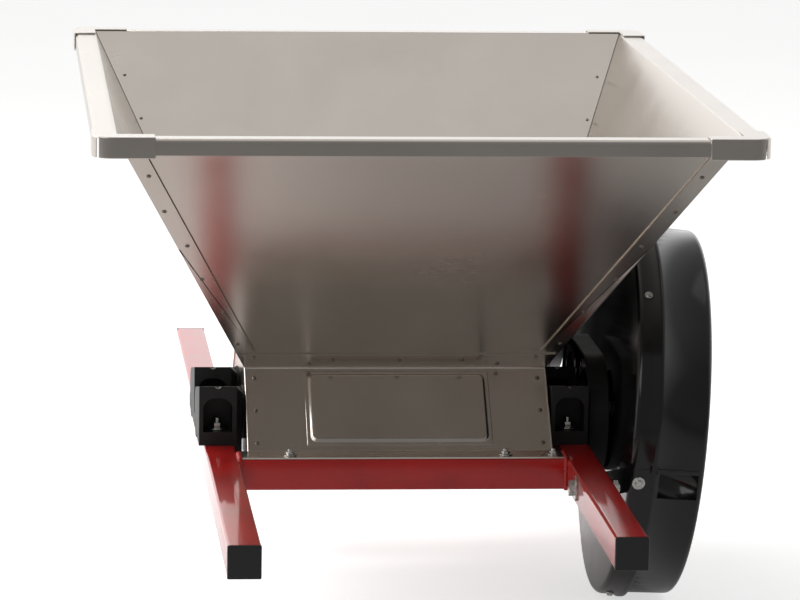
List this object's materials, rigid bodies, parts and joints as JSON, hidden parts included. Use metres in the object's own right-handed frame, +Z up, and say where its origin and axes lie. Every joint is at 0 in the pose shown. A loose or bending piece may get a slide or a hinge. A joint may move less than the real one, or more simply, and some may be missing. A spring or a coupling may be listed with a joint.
{
  "type": "motor-driven fruit crusher",
  "caption": "Sheet-metal hopper over counter-turning ribbed rollers on a square-tube frame with long runners, belt drive under a moulded guard.",
  "frame": {"origin": "midway between the runners on their underside, under the gap between the rollers", "axes": "+X to the right seen from the front, towards the belt guard; +Y back; +Z up"},
  "size_m": [0.6032, 1.077, 0.5019],
  "materials": {
    "painted_frame": "red gloss enamel",
    "sheet_steel": "cold-rolled stainless, dull mill finish",
    "bright_steel": "zinc plated",
    "shaft_steel": "ground",
    "roller_metal": "cast and turned",
    "bronze": "sintered bronze",
    "black_plastic": "moulded satin black",
    "black_rubber": "moulded",
    "cast_grey": "cast, turned rim",
    "black_paint": "satin black",
    "motor_grey": "dark grey machine enamel",
    "green_plastic": "moulded",
    "red_plastic": "moulded"
  },
  "bodies": {
    "frame": {"left_runner": "painted_frame", "right_runner": "painted_frame", "front_cross_tube": "painted_frame", "rear_cross_tube": "painted_frame", "motor_cross_tube": "painted_frame", "runner_end_caps": "black_plastic", "hopper_front_panel": "sheet_steel", "hopper_rear_panel": "sheet_steel", "hopper_left_panel": "sheet_steel", "hopper_right_panel": "sheet_steel", "rim_corner_caps": "sheet_steel", "hopper_rivets": "bright_steel", "box_front_panel": "sheet_steel", "box_rear_panel": "sheet_steel", "box_left_side": "sheet_steel", "box_right_side": "sheet_steel", "box_rivets": "bright_steel", "box_bolts": "bright_steel", "shaft_seals": "black_rubber", "left_front_housing": "black_plastic", "left_rear_housing": "black_plastic", "right_front_housing": "black_plastic", "right_rear_housing": "black_plastic", "bearing_bushes": "bronze", "housing_studs": "bright_steel", "gear_cover": "black_plastic", "drive_belt": "black_rubber", "motor_body": "motor_grey", "motor_front_shield": "motor_grey", "motor_fan_cover": "motor_grey", "motor_foot": "motor_grey", "motor_plate": "painted_frame", "motor_bolts": "bright_steel", "terminal_box": "black_plastic", "cable_gland": "black_plastic", "guard_upper_shell": "black_plastic", "guard_lower_shell": "black_plastic", "guard_screws": "bright_steel", "guard_front_bracket": "black_paint", "guard_rear_bracket": "black_paint", "guard_bolts": "bright_steel"},
    "front_roller_set": {"front_roller": "roller_metal", "front_shaft": "shaft_steel", "front_gear": "black_plastic", "large_pulley": "cast_grey"},
    "rear_roller_set": {"rear_roller": "roller_metal", "rear_shaft": "shaft_steel", "rear_gear": "black_plastic"},
    "motor_rotor": {"motor_shaft": "shaft_steel", "motor_pulley": "cast_grey", "motor_fan": "black_plastic"},
    "start_button": {"start_button": "green_plastic"},
    "stop_button": {"stop_button": "red_plastic"}
  },
  "joints": [
    {"name": "front_roller_turn", "type": "hinge", "parent": "frame", "child": "front_roller_set", "pos_m": [0, -0.05, 0.05], "axis": [1, 0, 0], "continuous": true},
    {"name": "rear_roller_turn", "type": "hinge", "parent": "frame", "child": "rear_roller_set", "pos_m": [0, 0.05, 0.05], "axis": [1, 0, 0], "continuous": true},
    {"name": "motor_turn", "type": "hinge", "parent": "frame", "child": "motor_rotor", "pos_m": [0, 0.255, 0.105], "axis": [1, 0, 0], "continuous": true},
    {"name": "start_press", "type": "slide", "parent": "frame", "child": "start_button", "axis": [0, -1, 0], "range_m": [0, 0.003], "stiffness_N_per_m": 300},
    {"name": "stop_press", "type": "slide", "parent": "frame", "child": "stop_button", "axis": [0, -1, 0], "range_m": [0, 0.003], "stiffness_N_per_m": 300}
  ],
  "couplings": [
    {"joint": "rear_roller_turn", "follows": "front_roller_turn", "ratio": -1},
    {"joint": "motor_turn", "follows": "front_roller_turn", "ratio": 6.8499}
  ]
}
